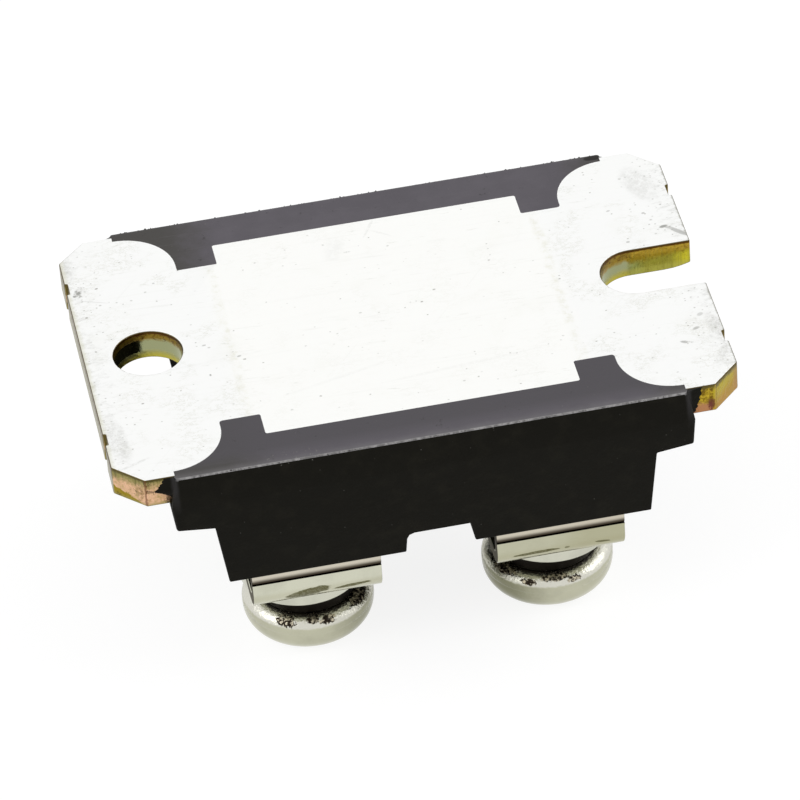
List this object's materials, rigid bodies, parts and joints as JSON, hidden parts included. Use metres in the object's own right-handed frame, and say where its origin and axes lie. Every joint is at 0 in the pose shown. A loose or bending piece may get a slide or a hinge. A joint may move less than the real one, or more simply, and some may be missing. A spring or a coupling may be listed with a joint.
{
  "type": "switching diode module",
  "caption": "Moulded switching diode module with screw terminals and an insulated metal base plate that bolts to a heat sink.",
  "frame": {"origin": "on the surface that the part stands on, under the middle of its base plate", "axes": "+X along the base plate from the round hole to the open slot, +Z out of the mounting face, so the part stands on its screw heads"},
  "size_m": [0.038, 0.0254, 0.0173],
  "materials": {
    "base_plate": "bright nickel plating over copper with fine rolling marks and scratches, bare copper and yellow tarnish on the cut edges",
    "resin": "black moulding resin, fine matte grain, slightly greyer where it lies flush with the plate",
    "terminal_nickel": "polished nickel plating with fine drag marks near the folds",
    "nut_steel": "nickel-plated steel",
    "flat_washer_nickel": "nickel-plated steel",
    "spring_steel": "dark spring steel",
    "screw_nickel": "nickel-plated steel, cold-formed head with slight ripples",
    "solder": "dull grey solder",
    "copper": "bare copper",
    "ceramic": "white ceramic insulator",
    "silicon": "dark grey diode chip"
  },
  "bodies": {
    "root": {"base_plate": "base_plate", "moulded_body": "resin", "terminal_1": "terminal_nickel", "terminal_2": "terminal_nickel", "terminal_3": "terminal_nickel", "terminal_4": "terminal_nickel", "nut_1": "nut_steel", "nut_2": "nut_steel", "nut_3": "nut_steel", "nut_4": "nut_steel", "flat_washer_1": "flat_washer_nickel", "flat_washer_2": "flat_washer_nickel", "flat_washer_3": "flat_washer_nickel", "flat_washer_4": "flat_washer_nickel", "spring_washer_1": "spring_steel", "spring_washer_2": "spring_steel", "spring_washer_3": "spring_steel", "spring_washer_4": "spring_steel", "screw_1": "screw_nickel", "screw_2": "screw_nickel", "screw_3": "screw_nickel", "screw_4": "screw_nickel", "substrate_solder": "solder", "foot_solder_1": "solder", "foot_solder_2": "solder", "foot_solder_3": "solder", "foot_solder_4": "solder", "chip_solder_1": "solder", "chip_solder_2": "solder", "chip_top_solder_1": "solder", "chip_top_solder_2": "solder", "track_solder_1": "solder", "track_solder_2": "solder", "substrate_copper": "copper", "track_1": "copper", "track_2": "copper", "track_3": "copper", "track_4": "copper", "bridge_1": "copper", "bridge_2": "copper", "ceramic": "ceramic", "chip_1": "silicon", "chip_2": "silicon"}
  },
  "joints": []
}
